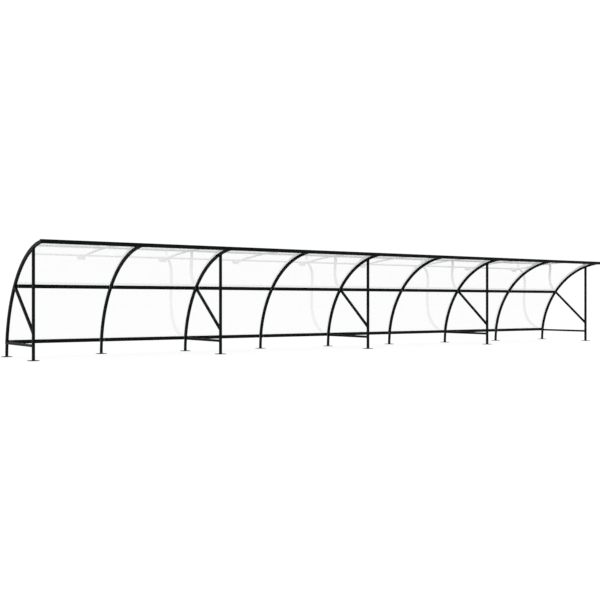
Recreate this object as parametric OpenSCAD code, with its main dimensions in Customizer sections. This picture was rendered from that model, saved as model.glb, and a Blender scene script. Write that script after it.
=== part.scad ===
// Long open bike shelter: nine curved tube hoops on foot plates carry clear
// curved roof sheets, with posts, braces and side rails under every second hoop.
// Millimetres. +X runs along the length, +Y to the rear, +Z up from the ground.
// The origin is the bottom centre of the whole shelter.

/* [Overall] */
// Distance between the centres of neighbouring hoops
bay_pitch = 2000; // [1200:50:2600]
// Radius of the hoops' centre line
hoop_radius = 2186; // [1800:1:2600]
// Distance from the centre line of the posts back to the rear legs
post_to_leg = 1565; // [1300:5:1880]
// Distance from the centre line of the posts forward to the front beam
beam_reach = 500; // [350:5:600]

/* [Frame tubes] */
// Width and depth of the square tube in hoops, posts, braces and side rails
tube_w = 50; // [30:1:60]
// Wall of the square tube
tube_wall = 3; // [2:0.5:4.5]
// Outside radius of the corners of every tube
corner_r = 5; // [5:0.5:12]
// Gap left at each fitted or welded joint
joint_gap = 0.3; // [0.1:0.1:0.8]

/* [Rails and front beam] */
// Height of the rail and beam tube
rail_h = 75; // [50:1:90]
// Depth of the rail and beam tube
rail_d = 50; // [30:1:60]
// Wall of the rail and beam tube
rail_wall = 3; // [2:0.5:4.5]
// Length of beam that shows past each end hoop
beam_overhang = 20; // [5:1:60]
// Thickness of the caps that close the beam's ends
cap_t = 3; // [2:0.5:6]
// Height of the mid rail's centre above the ground
mid_rail_z = 1402; // [1000:1:1600]
// Height of the lower rail's centre above the ground
lower_rail_z = 297; // [200:1:500]

/* [Side frames] */
// Height of the side rail's centre above the ground
side_rail_z = 279; // [150:1:450]
// Height at which the brace's line meets the post's centre line
brace_foot_z = 512; // [400:1:900]
// Height at which the brace's line meets the hoop's centre line
brace_head_z = 1403; // [1100:1:1600]

/* [Roof sheets] */
// Thickness of the clear sheets
sheet_t = 5; // [3:0.5:10]
// Open joint between neighbouring sheets over a hoop
sheet_joint = 6; // [2:1:20]
// Width of the strips that hold the sheets down on the hoops
strip_w = 50; // [25:1:60]
// Thickness of the holding strips
strip_t = 3; // [1.5:0.5:6]

/* [Foot plates] */
// Side of the square foot plates
plate_w = 180; // [150:5:240]
// Thickness of the foot plates
plate_t = 10; // [6:1:20]
// Radius of the foot plates' corners
plate_corner_r = 8; // [2:1:12]
// Distance between the bolt holes of a foot plate
bolt_spacing = 130; // [90:5:155]
// Diameter of the bolt holes
bolt_hole_d = 18; // [10:1:24]

/* [Hidden] */
bays = 8;
beam_count = bays / 2;
round_fn = 180;

// Places along the length.
half_length = bays * bay_pitch / 2;
function hoop_x(number) = (number - 1) * bay_pitch - half_length;
function frame_x(number) = hoop_x(2 * number - 1);

// Places across the depth, from the front of the beam to the rear plates.
depth = beam_reach + rail_d / 2 + post_to_leg + plate_w / 2;
leg_y = depth / 2 - plate_w / 2;
post_y = leg_y - post_to_leg;
beam_y = post_y - beam_reach;
arc_y = leg_y - hoop_radius;
arc_z = plate_t + joint_gap;

// Radii round the hoops' common axis.
hoop_in_r = hoop_radius - tube_w / 2;
hoop_out_r = hoop_radius + tube_w / 2;
sheet_in_r = hoop_out_r + joint_gap;
sheet_out_r = sheet_in_r + sheet_t;
strip_in_r = sheet_out_r + joint_gap;
strip_out_r = strip_in_r + strip_t;

// Depth at a height, and height at a depth, on a circle round that axis.
function arc_depth(radius, height) = arc_y + sqrt(pow(radius, 2) - pow(height - arc_z, 2));
function arc_height(radius, depth_y) = arc_z + sqrt(pow(radius, 2) - pow(depth_y - arc_y, 2));

// Depth of the centre of a rail whose round top corner meets the sheets.
function rail_depth(centre_z) =
    arc_depth(hoop_out_r - corner_r, centre_z + rail_h / 2 - corner_r) + corner_r - rail_d / 2;

// The beam is centred on the hoops' centre line.
beam_z = arc_height(hoop_radius, beam_y);
beam_back_y = beam_y + rail_d / 2;
mid_rail_y = rail_depth(mid_rail_z);
lower_rail_y = rail_depth(lower_rail_z);
beam_past_hoop = tube_w / 2 + beam_overhang;
brace_head_y = arc_depth(hoop_radius, brace_head_z);
brace_angle = atan2(brace_head_z - brace_foot_z, brace_head_y - post_y);
brace_length = norm([brace_head_y - post_y, brace_head_z - brace_foot_z]);

frame_colour = [0.13, 0.14, 0.15];
sheet_colour = [0.86, 0.93, 0.95, 0.3];

// Rectangle with round corners, centred.
module round_rectangle(size_x, size_y, radius) {
    square([size_x - 2 * radius, size_y], center = true);
    square([size_x, size_y - 2 * radius], center = true);
    for (side = [-1, 1], end = [-1, 1])
        translate([side * (size_x / 2 - radius), end * (size_y / 2 - radius)])
            circle(r = radius, $fn = 24);
}

// Section of a tube with round corners, centred.
module tube_section(size_x, size_y, wall) {
    difference() {
        round_rectangle(size_x, size_y, corner_r);
        round_rectangle(size_x - 2 * wall, size_y - 2 * wall, corner_r - wall);
    }
}

// Tube that stands on the XY plane, centred on the Z axis.
module tube(length, size_x, size_y, wall) {
    linear_extrude(length)
        tube_section(size_x, size_y, wall);
}

// Square frame tube that runs from the origin along +Y.
module frame_tube_y(length) {
    rotate([-90, 0, 0])
        tube(length, tube_w, tube_w, tube_wall);
}

// Rail or beam tube that runs from the origin along +X.
module rail_tube_x(length) {
    rotate([0, 90, 0])
        tube(length, rail_h, rail_d, rail_wall);
}

// Turns a shape drawn in XY and raised along Z into the hoops' plane, on their axis.
module in_hoop_plane() {
    translate([0, arc_y, arc_z])
        rotate([90, 0, 90])
            children();
}

// Sweeps a section, drawn with its radius along X, from the plates to the front beam.
module hoop_sweep() {
    difference() {
        in_hoop_plane()
            rotate_extrude(angle = 150, $fn = round_fn)
                children();
        translate([-2 * bay_pitch, beam_back_y + joint_gap - 2 * hoop_radius, 0])
            cube([4 * bay_pitch, 2 * hoop_radius, 2 * hoop_radius]);
    }
}

// Solid drum that just fits inside the hoops, used to cope tube ends to them.
module hoop_drum() {
    in_hoop_plane()
        cylinder(r = hoop_in_r - joint_gap, h = 2 * tube_w, center = true, $fn = round_fn);
}

module hoop(number) {
    color(frame_colour)
        translate([hoop_x(number), 0, 0])
            hoop_sweep()
                translate([hoop_radius, 0])
                    tube_section(tube_w, tube_w, tube_wall);
}

module post(number) {
    color(frame_colour)
        translate([frame_x(number), 0, 0])
            intersection() {
                translate([0, post_y, arc_z])
                    tube(hoop_radius, tube_w, tube_w, tube_wall);
                hoop_drum();
            }
}

// Everything in front of a post's rear face, with a joint gap.
module post_side() {
    translate([-tube_w, post_y - tube_w, 0])
        cube([2 * tube_w, 1.5 * tube_w + joint_gap, hoop_radius]);
}

module brace(number) {
    color(frame_colour)
        translate([frame_x(number), 0, 0])
            difference() {
                intersection() {
                    translate([0, post_y, brace_foot_z])
                        rotate([brace_angle, 0, 0])
                            frame_tube_y(brace_length);
                    hoop_drum();
                }
                post_side();
            }
}

module side_rail(number) {
    color(frame_colour)
        translate([frame_x(number), 0, 0])
            intersection() {
                translate([0, post_y + tube_w / 2 + joint_gap, side_rail_z])
                    frame_tube_y(post_to_leg);
                hoop_drum();
            }
}

// One length of the front beam, from one posted hoop to the next.
module front_beam(number) {
    first = number == 1;
    last = number == beam_count;
    start = frame_x(number) + (first ? -beam_past_hoop : joint_gap / 2);
    end = frame_x(number + 1) + (last ? beam_past_hoop : -joint_gap / 2);
    color(frame_colour)
        translate([start, beam_y, beam_z])
            rail_tube_x(end - start);
}

module beam_caps() {
    for (side = [-1, 1])
        color(frame_colour)
            translate([side * (half_length + beam_past_hoop + joint_gap + cap_t / 2), beam_y, beam_z])
                rotate([0, 90, 0])
                    linear_extrude(cap_t, center = true)
                        round_rectangle(rail_h, rail_d, corner_r);
}

// Rail pieces that fit between the side faces of neighbouring hoops.
module rails(rail_y, rail_z) {
    for (bay = [1 : bays])
        color(frame_colour)
            translate([hoop_x(bay) + tube_w / 2 + joint_gap, rail_y, rail_z])
                rail_tube_x(bay_pitch - tube_w - 2 * joint_gap);
}

// One bay's clear sheet, lying on the hoops from the lower rail to the beam.
module roof_sheet(number) {
    start = number == 1 ? -tube_w / 2 : sheet_joint / 2;
    end = bay_pitch + (number == bays ? tube_w / 2 : -sheet_joint / 2);
    color(sheet_colour)
        translate([hoop_x(number), 0, 0])
            over_lower_rail()
                hoop_sweep()
                    translate([sheet_in_r, start])
                        square([sheet_t, end - start]);
}

// Cuts a swept sheet or strip off level with the bottom of the lower rail.
module over_lower_rail() {
    difference() {
        children();
        translate([-2 * bay_pitch, leg_y - hoop_radius / 2, 0])
            cube([4 * bay_pitch, hoop_radius, lower_rail_z - rail_h / 2]);
    }
}

module sheet_strips() {
    for (number = [1 : bays + 1])
        color(frame_colour)
            translate([hoop_x(number), 0, 0])
                over_lower_rail()
                    hoop_sweep()
                        translate([strip_in_r, -strip_w / 2])
                            square([strip_t, strip_w]);
}

// Square foot plate with four bolt holes, centred on the Z axis.
module foot_plate() {
    color(frame_colour)
        linear_extrude(plate_t)
            difference() {
                round_rectangle(plate_w, plate_w, plate_corner_r);
                for (side = [-1, 1], end = [-1, 1])
                    translate([side * bolt_spacing / 2, end * bolt_spacing / 2])
                        circle(d = bolt_hole_d, $fn = 48);
            }
}

module rear_plates() {
    for (number = [1 : bays + 1])
        translate([hoop_x(number), leg_y, 0])
            foot_plate();
}

module front_plates() {
    for (number = [1 : beam_count + 1])
        translate([frame_x(number), post_y, 0])
            foot_plate();
}

hoop(1);  // hoop_1
hoop(2);  // hoop_2
hoop(3);  // hoop_3
hoop(4);  // hoop_4
hoop(5);  // hoop_5
hoop(6);  // hoop_6
hoop(7);  // hoop_7
hoop(8);  // hoop_8
hoop(9);  // hoop_9
post(1);  // post_1
post(2);  // post_2
post(3);  // post_3
post(4);  // post_4
post(5);  // post_5
brace(1);  // brace_1
brace(2);  // brace_2
brace(3);  // brace_3
brace(4);  // brace_4
brace(5);  // brace_5
side_rail(1);  // side_rail_1
side_rail(2);  // side_rail_2
side_rail(3);  // side_rail_3
side_rail(4);  // side_rail_4
side_rail(5);  // side_rail_5
front_beam(1);  // front_beam_1
front_beam(2);  // front_beam_2
front_beam(3);  // front_beam_3
front_beam(4);  // front_beam_4
beam_caps();
rails(mid_rail_y, mid_rail_z);  // mid_rail
rails(lower_rail_y, lower_rail_z);  // lower_rail
roof_sheet(1);  // roof_sheet_1
roof_sheet(2);  // roof_sheet_2
roof_sheet(3);  // roof_sheet_3
roof_sheet(4);  // roof_sheet_4
roof_sheet(5);  // roof_sheet_5
roof_sheet(6);  // roof_sheet_6
roof_sheet(7);  // roof_sheet_7
roof_sheet(8);  // roof_sheet_8
sheet_strips();
rear_plates();
front_plates();
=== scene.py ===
"""The looks of the bike shelter: materials, welds, screws, seals, light and camera.

Metres, in the frame's own axes: +X along the length, +Y to the rear, +Z up.
"""

import math

import bmesh
import bpy
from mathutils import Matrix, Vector


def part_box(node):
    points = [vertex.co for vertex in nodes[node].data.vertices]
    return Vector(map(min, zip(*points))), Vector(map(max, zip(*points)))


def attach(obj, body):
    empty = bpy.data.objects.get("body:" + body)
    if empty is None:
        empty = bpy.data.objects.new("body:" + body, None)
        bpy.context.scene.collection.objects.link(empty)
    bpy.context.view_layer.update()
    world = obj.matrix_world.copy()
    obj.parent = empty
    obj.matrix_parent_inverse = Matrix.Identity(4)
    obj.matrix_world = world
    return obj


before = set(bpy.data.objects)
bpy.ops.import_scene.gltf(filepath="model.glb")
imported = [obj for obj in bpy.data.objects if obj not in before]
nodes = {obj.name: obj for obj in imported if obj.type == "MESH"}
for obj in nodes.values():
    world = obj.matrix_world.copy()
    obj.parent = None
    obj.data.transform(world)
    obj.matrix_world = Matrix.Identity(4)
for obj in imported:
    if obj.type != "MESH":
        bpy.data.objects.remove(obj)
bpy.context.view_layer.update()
scene = bpy.context.scene

ROOT = "root"


# ---------------------------------------------------------------- materials

# The usual span of a noise's values.
NOISE_LOW = 0.3
NOISE_HIGH = 0.7


class Surface:
    """A node material with its Principled shader, and the nodes that vary it."""

    def __init__(self, name):
        self.material = bpy.data.materials.new(name)
        self.material.use_nodes = True
        self.tree = self.material.node_tree
        self.shader = self.tree.nodes["Principled BSDF"]

    def feed(self, socket, value):
        """Feeds a socket with a number, a colour or the output of another node."""
        if isinstance(value, bpy.types.NodeSocket):
            self.tree.links.new(value, socket)
        elif isinstance(value, tuple):
            socket.default_value = (*value, 1)
        else:
            socket.default_value = value

    def set(self, name, value):
        """Feeds one of the shader's own inputs."""
        self.feed(self.shader.inputs[name], value)

    def place(self):
        """The shaded point, in metres."""
        return self.tree.nodes.new("ShaderNodeTexCoord").outputs["Object"]

    def height(self):
        """Height of the shaded point above the ground."""
        node = self.tree.nodes.new("ShaderNodeSeparateXYZ")
        self.feed(node.inputs["Vector"], self.place())
        return node.outputs["Z"]

    def noise(self, scale, detail=4.0):
        """A noise texture of that many features a metre."""
        node = self.tree.nodes.new("ShaderNodeTexNoise")
        self.feed(node.inputs["Vector"], self.place())
        self.feed(node.inputs["Scale"], scale)
        self.feed(node.inputs["Detail"], detail)
        return node.outputs["Fac"]

    def spread(self, value, low, high, from_low=NOISE_LOW, from_high=NOISE_HIGH):
        """Maps a value's own span, by default a noise's usual one, onto low to high."""
        node = self.tree.nodes.new("ShaderNodeMapRange")
        self.feed(node.inputs["Value"], value)
        self.feed(node.inputs["From Min"], from_low)
        self.feed(node.inputs["From Max"], from_high)
        self.feed(node.inputs["To Min"], low)
        self.feed(node.inputs["To Max"], high)
        return node.outputs["Result"]

    def patches(self, scale, low, high):
        """A value that drifts between low and high, with that many patches a metre."""
        return self.spread(self.noise(scale), low, high)

    def product(self, first, second):
        """Product of two values."""
        node = self.tree.nodes.new("ShaderNodeMath")
        node.operation = "MULTIPLY"
        self.feed(node.inputs[0], first)
        self.feed(node.inputs[1], second)
        return node.outputs["Value"]

    def blend(self, factor, first, second):
        """Mixes two colours."""
        node = self.tree.nodes.new("ShaderNodeMix")
        node.data_type = "RGBA"
        self.feed(node.inputs["Factor"], factor)
        self.feed(node.inputs["A"], first)
        self.feed(node.inputs["B"], second)
        return node.outputs["Result"]

    def tone(self, scale, dark, light):
        """A colour that drifts between dark and light, with that many patches a metre."""
        return self.blend(self.patches(scale, low=0.0, high=1.0), dark, light)

    def relief(self, scale, detail, strength, distance):
        """Bumps from a noise."""
        node = self.tree.nodes.new("ShaderNodeBump")
        self.feed(node.inputs["Height"], self.noise(scale, detail))
        self.feed(node.inputs["Strength"], strength)
        self.feed(node.inputs["Distance"], distance)
        return node.outputs["Normal"]


DUST = (0.018, 0.019, 0.019)
DUST_HEIGHT = 0.12


def painted(name, dark, light, roughness):
    """Satin powder coat: orange peel, patchy gloss and tone, and dust near the ground."""
    surface = Surface(name)
    low_down = surface.spread(surface.height(), low=1.0, high=0.0,
                              from_low=0.0, from_high=DUST_HEIGHT)
    dusty = surface.product(low_down, surface.patches(scale=35.0, low=0.0, high=1.0))
    surface.set("Base Color", surface.blend(dusty, surface.tone(2.5, dark, light), DUST))
    surface.set("Roughness", surface.patches(9.0, *roughness))
    surface.set("Normal", surface.relief(scale=380.0, detail=2.0, strength=0.10, distance=0.0004))
    surface.set("Specular IOR Level", 0.05)
    return surface.material


def clear_sheet():
    """Clear plastic sheet: polished, with faint rain film and a little waviness."""
    surface = Surface("clear_sheet")
    surface.set("Base Color", (0.949, 0.950, 0.950))
    surface.set("Transmission Weight", 1.0)
    surface.set("IOR", 1.57)
    surface.set("Roughness", surface.patches(scale=5.0, low=0.0, high=0.012))
    surface.set("Normal", surface.relief(scale=0.9, detail=0.0, strength=0.02, distance=0.004))
    return surface.material


def metal(name, dark, light):
    """Zinc-plated steel with a slightly uneven face."""
    surface = Surface(name)
    surface.set("Base Color", surface.tone(60.0, dark, light))
    surface.set("Metallic", 1.0)
    surface.set("Roughness", surface.patches(scale=150.0, low=0.25, high=0.5))
    surface.set("Normal", surface.relief(scale=900.0, detail=2.0, strength=0.15, distance=0.0002))
    return surface.material


def rubber(name, dark, light):
    """Matt black rubber with a fine grain."""
    surface = Surface(name)
    surface.set("Base Color", surface.tone(20.0, dark, light))
    surface.set("Roughness", surface.patches(scale=40.0, low=0.6, high=0.8))
    surface.set("Normal", surface.relief(scale=1500.0, detail=2.0, strength=0.2, distance=0.0002))
    surface.set("Specular IOR Level", 0.1)
    return surface.material


frame_paint = painted("frame_paint", dark=(0.0016, 0.0036, 0.0044), light=(0.0026, 0.0050, 0.0060),
                      roughness=(0.40, 0.54))
weld_paint = painted("weld_paint", dark=(0.0020, 0.0040, 0.0048), light=(0.0030, 0.0054, 0.0064),
                     roughness=(0.46, 0.6))
sheet_clear = clear_sheet()
screw_steel = metal("screw_steel", dark=(0.42, 0.43, 0.44), light=(0.60, 0.61, 0.62))
seal_rubber = rubber("seal_rubber", dark=(0.004, 0.004, 0.004), light=(0.010, 0.010, 0.010))

for name, node in nodes.items():
    node.data.materials.clear()
    node.data.materials.append(sheet_clear if name.startswith("roof_sheet") else frame_paint)


# ---------------------------------------------------------------- sizes read from the frame

def numbered(prefix):
    """Boxes of the nodes prefix_1, prefix_2 and so on, in order."""
    count = sum(name.startswith(prefix + "_") for name in nodes)
    return [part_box(f"{prefix}_{number}") for number in range(1, count + 1)]


hoop_boxes = numbered("hoop")
post_boxes = numbered("post")
rail_boxes = [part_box("mid_rail"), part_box("lower_rail")]
beam_low, beam_high = numbered("front_beam")[0]
sheet_low, sheet_high = numbered("roof_sheet")[0]
strip_low, strip_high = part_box("sheet_strips")
plate_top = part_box("rear_plates")[1].z

tube = hoop_boxes[0][1].x - hoop_boxes[0][0].x
hoop_places = [(low.x + high.x) / 2 for low, high in hoop_boxes]
post_places = [(low.x + high.x) / 2 for low, high in post_boxes]
post_y = (post_boxes[0][0].y + post_boxes[0][1].y) / 2
half_strip = strip_high.x - hoop_places[-1]

# The hoops are arcs round one axis. Their outside meets the plate upright at the rear and
# stops at the beam, and that chord gives its radius.
hoop_foot = hoop_boxes[0][0].z
arc_rise = hoop_boxes[0][1].z - hoop_foot
arc_reach = hoop_boxes[0][1].y - hoop_boxes[0][0].y
hoop_outer = (arc_rise ** 2 + arc_reach ** 2) / (2 * arc_reach)
hoop_inner = hoop_outer - tube
arc_y = hoop_boxes[0][1].y - hoop_outer
arc_z = hoop_foot


def arc_radius(low, high):
    """Radius of a swept piece's outside, from its front edge at the beam."""
    return math.hypot(high.z - arc_z, low.y - arc_y)


sheet_outer = arc_radius(sheet_low, sheet_high)
strip_outer = arc_radius(strip_low, strip_high)


def outward(angle):
    """Direction away from the hoops' axis; angle 0 is the rear, 90 degrees the top."""
    return Vector((0, math.cos(angle), math.sin(angle)))


def on_arc(x, radius, angle):
    """A point on a circle round the hoops' axis."""
    return Vector((x, arc_y + radius * math.cos(angle), arc_z + radius * math.sin(angle)))


def angle_at_height(radius, z):
    """Where a circle round the hoops' axis reaches a height."""
    return math.asin((z - arc_z) / radius)


def angle_at_depth(radius, y):
    """Where a circle round the hoops' axis reaches a depth."""
    return math.acos((y - arc_y) / radius)


# ---------------------------------------------------------------- mesh helpers

X_AXIS, Y_AXIS, Z_AXIS = Vector((1, 0, 0)), Vector((0, 1, 0)), Vector((0, 0, 1))
SHARP_ANGLE = math.radians(38)
CORNER_STEPS = 6


def skin(bm, rings, closed=False):
    """Skins rings of points into a closed tube: round a loop, or with a face at each end."""
    loops = [[bm.verts.new(point) for point in ring] for ring in rings]
    pairs = list(zip(loops, loops[1:]))
    if closed:
        pairs.append((loops[-1], loops[0]))
    else:
        bm.faces.new(reversed(loops[0]))
        bm.faces.new(loops[-1])
    for first, second in pairs:
        for number, vertex in enumerate(first):
            after = (number + 1) % len(first)
            bm.faces.new((vertex, first[after], second[after], second[number]))


def add_piece(name, bm, material):
    """Turns a bmesh into a piece of the shelter."""
    bmesh.ops.recalc_face_normals(bm, faces=bm.faces[:])
    mesh = bpy.data.meshes.new(name)
    bm.to_mesh(mesh)
    bm.free()
    mesh.shade_smooth()
    mesh.set_sharp_from_angle(angle=SHARP_ANGLE)
    mesh.materials.append(material)
    piece = bpy.data.objects.new(name, mesh)
    scene.collection.objects.link(piece)
    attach(piece, ROOT)


def evenly(path, step, closed):
    """Points about a step apart along a line of points."""
    corners = path + path[:1] if closed else path
    lengths = [(after - before).length for before, after in zip(corners, corners[1:])]
    count = round(sum(lengths) / step)
    spacing = sum(lengths) / count
    points = []
    walked = 0.0
    for before, after, length in zip(corners, corners[1:], lengths):
        while len(points) * spacing < walked + length and len(points) < count:
            points.append(before.lerp(after, (len(points) * spacing - walked) / length))
        walked += length
    return points


def round_outline(width, height, radius):
    """Corner points of a centred rectangle with round corners."""
    turns = [math.radians(90 * step / CORNER_STEPS) for step in range(CORNER_STEPS + 1)]
    outline = []
    for quarter, (side, end) in enumerate(((1, 1), (-1, 1), (-1, -1), (1, -1))):
        for turn in turns:
            angle = turn + quarter * math.pi / 2
            outline.append((side * (width / 2 - radius) + radius * math.cos(angle),
                            end * (height / 2 - radius) + radius * math.sin(angle)))
    return outline


# ---------------------------------------------------------------- weld beads

TUBE_CORNER = 0.005
BEAD_STEP = 0.00125
BEAD_PITCH = 0.005
BEAD_RIPPLE = 0.10
BEAD_SIDES = 6
FILLET_RADIUS = 0.0030
FILLET_OFFSET = 0.0012
SEAM_RADIUS = 0.0022
SEAM_OFFSET = 0.0004
# The normals of a side frame tube's top, bottom and ends have less than this along X.
NORMAL_X_LIMIT = 0.01


def bead(bm, path, along, radius, closed=True):
    """Rippled weld bead round a tube that runs along the given direction."""
    points = evenly(path, BEAD_STEP, closed)
    count = len(points)
    ripples = round(count * BEAD_STEP / BEAD_PITCH)
    turns = [math.tau * side / BEAD_SIDES for side in range(BEAD_SIDES)]
    rings = []
    for number, point in enumerate(points):
        ahead = points[(number + 1) % count] if closed else points[min(number + 1, count - 1)]
        behind = points[number - 1] if closed else points[max(number - 1, 0)]
        tangent = (ahead - behind).normalized()
        across = tangent.cross(along).normalized()
        third = tangent.cross(across)
        swell = radius * (1 + BEAD_RIPPLE * math.sin(math.tau * ripples * number / count))
        rings.append([point + swell * (across * math.cos(turn) + third * math.sin(turn))
                      for turn in turns])
    skin(bm, rings, closed)


def seam(origin, along, offset, reach):
    """Line where a square tube's outside meets a surface that lies reach(point) further along."""
    upward = along.cross(X_AXIS)
    path = []
    for side, up in round_outline(tube + 2 * offset, tube + 2 * offset, TUBE_CORNER + offset):
        start = origin + X_AXIS * side + upward * up
        path.append(start + along * (reach(start) - offset))
    return path


def to_hoop(along):
    """Reach from a point inside the hoops, along a direction, to their inner face."""
    def reach(start):
        across = Vector((0, start.y - arc_y, start.z - arc_z))
        inward = across.dot(along)
        return math.sqrt(inward ** 2 + hoop_inner ** 2 - across.length_squared) - inward
    return reach


def to_depth(along, y):
    """Reach from a point, along a direction, to a plane across the depth."""
    return lambda start: (y - start.y) / along.y


def tube_line(name):
    """A point in a tube of the side frames and its direction towards the rear."""
    mesh = nodes[name].data
    level = [face for face in mesh.polygons if abs(face.normal.x) < NORMAL_X_LIMIT]
    upward = max(level, key=lambda face: face.area).normal.copy()
    heights = [vertex.co.dot(upward) for vertex in mesh.vertices]
    along = X_AXIS.cross(upward)
    if along.y < 0:
        along.negate()
    low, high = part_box(name)
    middle = (low + high) / 2
    return middle + upward * ((min(heights) + max(heights)) / 2 - middle.dot(upward)), along


def foot_welds():
    """Fillet welds round the feet of the hoops and posts."""
    bm = bmesh.new()
    leg_y = hoop_boxes[0][1].y - tube / 2
    feet = [(x, leg_y) for x in hoop_places] + [(x, post_y) for x in post_places]
    for x, y in feet:
        path = seam(Vector((x, y, plate_top)), -Z_AXIS, FILLET_OFFSET, lambda start: 0)
        bead(bm, path, Z_AXIS, FILLET_RADIUS)
    add_piece("foot_welds", bm, weld_paint)


def side_frame_welds():
    """Seams where posts, braces and side rails meet the hoops and the posts."""
    bm = bmesh.new()
    post_back = post_y + tube / 2
    for number, x in enumerate(post_places, 1):
        path = seam(Vector((x, post_y, hoop_foot)), Z_AXIS, SEAM_OFFSET, to_hoop(Z_AXIS))
        bead(bm, path, Z_AXIS, SEAM_RADIUS)
        for name in ("brace", "side_rail"):
            centre, along = tube_line(f"{name}_{number}")
            bead(bm, seam(centre, along, SEAM_OFFSET, to_hoop(along)), along, SEAM_RADIUS)
            path = seam(centre, -along, SEAM_OFFSET, to_depth(-along, post_back))
            bead(bm, path, along, SEAM_RADIUS)
    add_piece("side_frame_welds", bm, weld_paint)


def beam_welds():
    """Welds on the sides and underside of each hoop, where it meets the front beam."""
    bm = bmesh.new()
    middle_radius = (hoop_inner + hoop_outer) / 2
    turn = angle_at_depth(middle_radius, beam_high.y)
    width = tube + 2 * SEAM_OFFSET
    height = tube / math.sin(turn) + 2 * SEAM_OFFSET
    side_top = tube / 2 - TUBE_CORNER
    under = [point for point in round_outline(width, height, TUBE_CORNER) if point[1] < 0]
    line = [(-width / 2, side_top), *under, (width / 2, side_top)]
    for x in hoop_places:
        centre = on_arc(x, middle_radius, turn)
        path = [centre + Vector((side, SEAM_OFFSET, up)) for side, up in line]
        bead(bm, path, Y_AXIS, SEAM_RADIUS, closed=False)
    add_piece("beam_welds", bm, weld_paint)


# ---------------------------------------------------------------- screws and washers

ROUND_SIDES = 18
HEX_SIDES = 6
# Thickness of the rubber washer, on which the steel of a hex screw lies.
WASHER_THICKNESS = 0.0018


def circle(radius):
    """A circle as points in its own plane."""
    turns = (math.tau * side / ROUND_SIDES for side in range(ROUND_SIDES))
    return [(radius * math.cos(turn), radius * math.sin(turn)) for turn in turns]


def hexagon(across_flats):
    """A hexagon with as many points as a circle, spaced along its sides."""
    radius = across_flats / math.sqrt(3)
    corners = [Vector((radius * math.cos(turn), radius * math.sin(turn)))
               for turn in (math.tau * side / HEX_SIDES for side in range(HEX_SIDES + 1))]
    share = ROUND_SIDES // HEX_SIDES
    return [tuple(corners[side].lerp(corners[side + 1], part / share))
            for side in range(HEX_SIDES) for part in range(share)]


def turned(bm, place, facing, levels):
    """A small turned part on a surface: levels are pairs of an outline and its height."""
    side = facing.orthogonal().normalized()
    up = facing.cross(side)
    skin(bm, [[place + side * u + up * v + facing * height for u, v in outline]
              for outline, height in levels])


def hex_screw(bm, place, facing):
    """Hex head, 8 mm across flats, with a flange and a steel washer."""
    turned(bm, place, facing, [
        (circle(0.0078), WASHER_THICKNESS), (circle(0.0080), 0.0021), (circle(0.0080), 0.0027),
        (circle(0.0058), 0.0030), (circle(0.0056), 0.0037), (hexagon(0.0080), 0.0041),
        (hexagon(0.0080), 0.0074), (hexagon(0.0068), 0.0080)])


def rubber_washer(bm, place, facing):
    """Rubber ring that bulges a little under the steel washer."""
    turned(bm, place, facing, [
        (circle(0.0078), 0.0), (circle(0.0084), 0.0006), (circle(0.0084), 0.0013),
        (circle(0.0079), WASHER_THICKNESS)])


def button_screw(bm, place, facing):
    """M8 button head with a 5 mm hex socket."""
    turned(bm, place, facing, [
        (circle(0.0070), 0.0), (circle(0.0070), 0.0006), (circle(0.0064), 0.0020),
        (circle(0.0053), 0.0033), (circle(0.0038), 0.0042), (hexagon(0.0050), 0.0044),
        (hexagon(0.0050), 0.0020)])


STRIP_SCREW_SPACING = 0.28
STRIP_SCREW_INSET = 0.06
SHEET_SCREWS_PER_BAY = 4
SHEET_SCREW_RISE = 0.015
RAIL_SCREW_INSET = 0.025
RAIL_SCREW_SPACING = 0.036
SPLICE_SCREW_PLACES = (-0.08, -0.04, 0.04, 0.08)


def strip_screw_places():
    """Where the screws sit on the strips, with the direction each one faces."""
    first = angle_at_height(strip_outer, strip_low.z + STRIP_SCREW_INSET)
    last = angle_at_depth(strip_outer, strip_low.y + STRIP_SCREW_INSET)
    count = round((last - first) * strip_outer / STRIP_SCREW_SPACING)
    for x in hoop_places:
        for number in range(count + 1):
            angle = first + (last - first) * number / count
            yield on_arc(x, strip_outer, angle), outward(angle)


def sheet_screw_places():
    """Where screws hold each sheet to the mid rail and the lower rail."""
    bay = hoop_places[1] - hoop_places[0]
    for low, high in rail_boxes:
        angle = angle_at_height(sheet_outer, (low.z + high.z) / 2 + SHEET_SCREW_RISE)
        for x in hoop_places[:-1]:
            for number in range(SHEET_SCREWS_PER_BAY):
                place = x + bay * (number + 0.5) / SHEET_SCREWS_PER_BAY
                yield on_arc(place, sheet_outer, angle), outward(angle)


def rail_screw_places():
    """Two screws one above the other near each end of every rail, on its front."""
    reach = tube / 2 + RAIL_SCREW_INSET
    for low, high in rail_boxes:
        for before, after in zip(hoop_places, hoop_places[1:]):
            for x in (before + reach, after - reach):
                for rise in (-RAIL_SCREW_SPACING / 2, RAIL_SCREW_SPACING / 2):
                    yield Vector((x, low.y, (low.z + high.z) / 2 + rise)), -Y_AXIS


def splice_screw_places():
    """Screws under the front beam, each side of its splices."""
    middle_y = (beam_low.y + beam_high.y) / 2
    for x in post_places[1:-1]:
        for step in SPLICE_SCREW_PLACES:
            yield Vector((x + step, middle_y, beam_low.z)), -Z_AXIS


def screws(name, places, make, material):
    """One piece of many small parts, one at each place."""
    bm = bmesh.new()
    for place, facing in places:
        make(bm, place, facing)
    add_piece(name, bm, material)


# ---------------------------------------------------------------- seals

ARC_STEPS = 54
LIP_WIDTH = 0.0032
LIP_HEIGHT = 0.0026
TRIM_THICKNESS = 0.0018
TRIM_LAP = 0.005
TRIM_EDGE = 0.0008
SEALANT_SIZE = 0.0045

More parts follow.
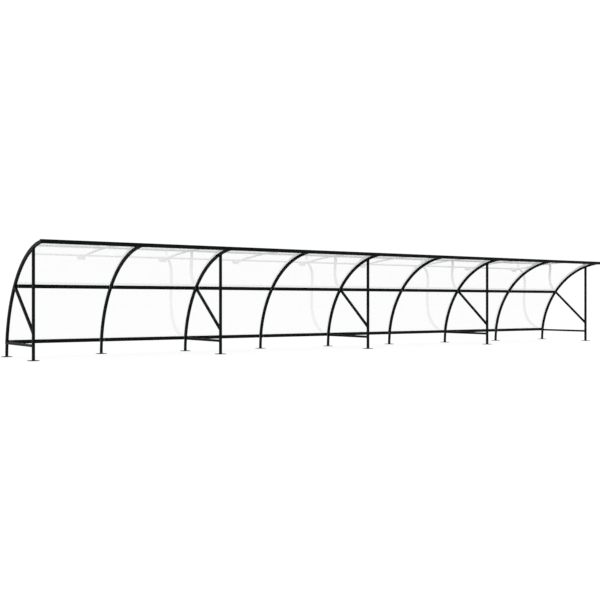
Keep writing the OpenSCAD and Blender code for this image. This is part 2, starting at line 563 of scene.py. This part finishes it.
# Two sections as shares of their width and height: a rubber lip, and a fillet of sealant.
LIP_SECTION = ((0, 0), (1, 0), (0.92, 0.35), (0.62, 0.75), (0, 1))
SEALANT_SECTION = ((0, -0.1), (1, -0.1), (0.55, 0.18), (0.25, 0.5), (0, 1))


def swept(bm, section, first, last):
    """Sweeps a section round the hoops' axis; its points are pairs of a place along X and a radius."""
    angles = [first + (last - first) * step / ARC_STEPS for step in range(ARC_STEPS + 1)]
    skin(bm, [[on_arc(x, radius, angle) for x, radius in section] for angle in angles])


def strip_seals():
    """Rubber lips that press on the sheets along both edges of each strip."""
    bm = bmesh.new()
    first = angle_at_height(sheet_outer, strip_low.z)
    last = angle_at_depth(sheet_outer, strip_low.y)
    for x in hoop_places:
        for side in (-1, 1):
            edge = x + side * half_strip
            if hoop_places[0] < edge < hoop_places[-1]:
                swept(bm, [(edge + side * out * LIP_WIDTH, sheet_outer + up * LIP_HEIGHT)
                           for out, up in LIP_SECTION], first, last)
    add_piece("strip_seals", bm, seal_rubber)


def end_trims():
    """Rubber trims that cover the sheets' cut edges on the outside of the two end hoops."""
    bm = bmesh.new()
    first = angle_at_height(sheet_outer, strip_low.z)
    last = angle_at_depth(hoop_outer, strip_low.y + TRIM_THICKNESS)
    inner = hoop_outer - TRIM_LAP
    shoulder = TRIM_THICKNESS - TRIM_EDGE
    section = ((0, inner), (shoulder, inner), (TRIM_THICKNESS, inner + TRIM_EDGE),
               (TRIM_THICKNESS, strip_outer - TRIM_EDGE), (shoulder, strip_outer), (0, strip_outer))
    for side, x in ((-1, hoop_places[0]), (1, hoop_places[-1])):
        swept(bm, [(x + side * (tube / 2 + out), radius) for out, radius in section], first, last)
    add_piece("end_trims", bm, seal_rubber)


def beam_sealant():
    """Sealant in the corner between the top of each sheet and the back of the beam."""
    bm = bmesh.new()
    back = beam_high.y
    top = on_arc(0, sheet_outer, angle_at_depth(sheet_outer, back)).z
    section = [(back + out * SEALANT_SIZE, top + up * SEALANT_SIZE) for out, up in SEALANT_SECTION]
    for before, after in zip(hoop_places, hoop_places[1:]):
        skin(bm, [[Vector((x, y, z)) for y, z in section]
                  for x in (before + half_strip, after - half_strip)])
    add_piece("beam_sealant", bm, seal_rubber)


foot_welds()
side_frame_welds()
beam_welds()
screws("strip_screws", strip_screw_places(), hex_screw, screw_steel)
screws("strip_washers", strip_screw_places(), rubber_washer, seal_rubber)
screws("sheet_screws", sheet_screw_places(), hex_screw, screw_steel)
screws("sheet_washers", sheet_screw_places(), rubber_washer, seal_rubber)
screws("rail_screws", rail_screw_places(), button_screw, screw_steel)
screws("splice_screws", splice_screw_places(), button_screw, screw_steel)
strip_seals()
end_trims()
beam_sealant()


# ---------------------------------------------------------------- stage, light and camera

FLOOR_SIZE = 400.0
FLOOR_COLOUR = (0.15, 0.15, 0.15)
FLOOR_GLOW = 0.88
WORLD_LIGHT = 1.03


def pale_floor():
    """A plain floor that glows a little, so that it stays as pale as the light round it."""
    bpy.ops.mesh.primitive_plane_add(size=FLOOR_SIZE)
    floor = bpy.context.object
    floor.name = "floor"
    surface = Surface("floor")
    surface.set("Base Color", FLOOR_COLOUR)
    surface.set("Roughness", 1.0)
    surface.set("Specular IOR Level", 0.0)
    surface.set("Emission Color", (1, 1, 1))
    surface.set("Emission Strength", FLOOR_GLOW)
    floor.data.materials.append(surface.material)


def studio_light():
    """Even white light from all round."""
    world = bpy.data.worlds.new("studio")
    world.use_nodes = True
    background = world.node_tree.nodes["Background"]
    background.inputs["Color"].default_value = (1, 1, 1, 1)
    background.inputs["Strength"].default_value = WORLD_LIGHT
    scene.world = world
    scene.view_settings.view_transform = "Standard"


# The camera stands level, about 1 m up, in front of the shelter and beyond its left end.
CAMERA_FROM_FIRST_POST = Vector((-5.803, -16.834, 0))
CAMERA_HEIGHT = 1.072
CAMERA_TURN = math.radians(35.137)
CAMERA_REACH = 500.0
# These two are in millimetres.
SENSOR_WIDTH = 36.0
FOCAL_LENGTH = 55.36
# How far the horizon lies below the picture's middle, as a share of its width.
HORIZON_DROP = 0.0052


def level_camera():
    """The camera, level and turned towards the shelter."""
    data = bpy.data.cameras.new("camera")
    data.sensor_width = SENSOR_WIDTH
    data.lens = FOCAL_LENGTH
    data.shift_y = HORIZON_DROP
    data.clip_end = CAMERA_REACH
    camera = bpy.data.objects.new("camera", data)
    camera.location = Vector((post_places[0], post_y, CAMERA_HEIGHT)) + CAMERA_FROM_FIRST_POST
    camera.rotation_euler = (math.radians(90), 0, -CAMERA_TURN)
    scene.collection.objects.link(camera)
    scene.camera = camera


pale_floor()
studio_light()
level_camera()
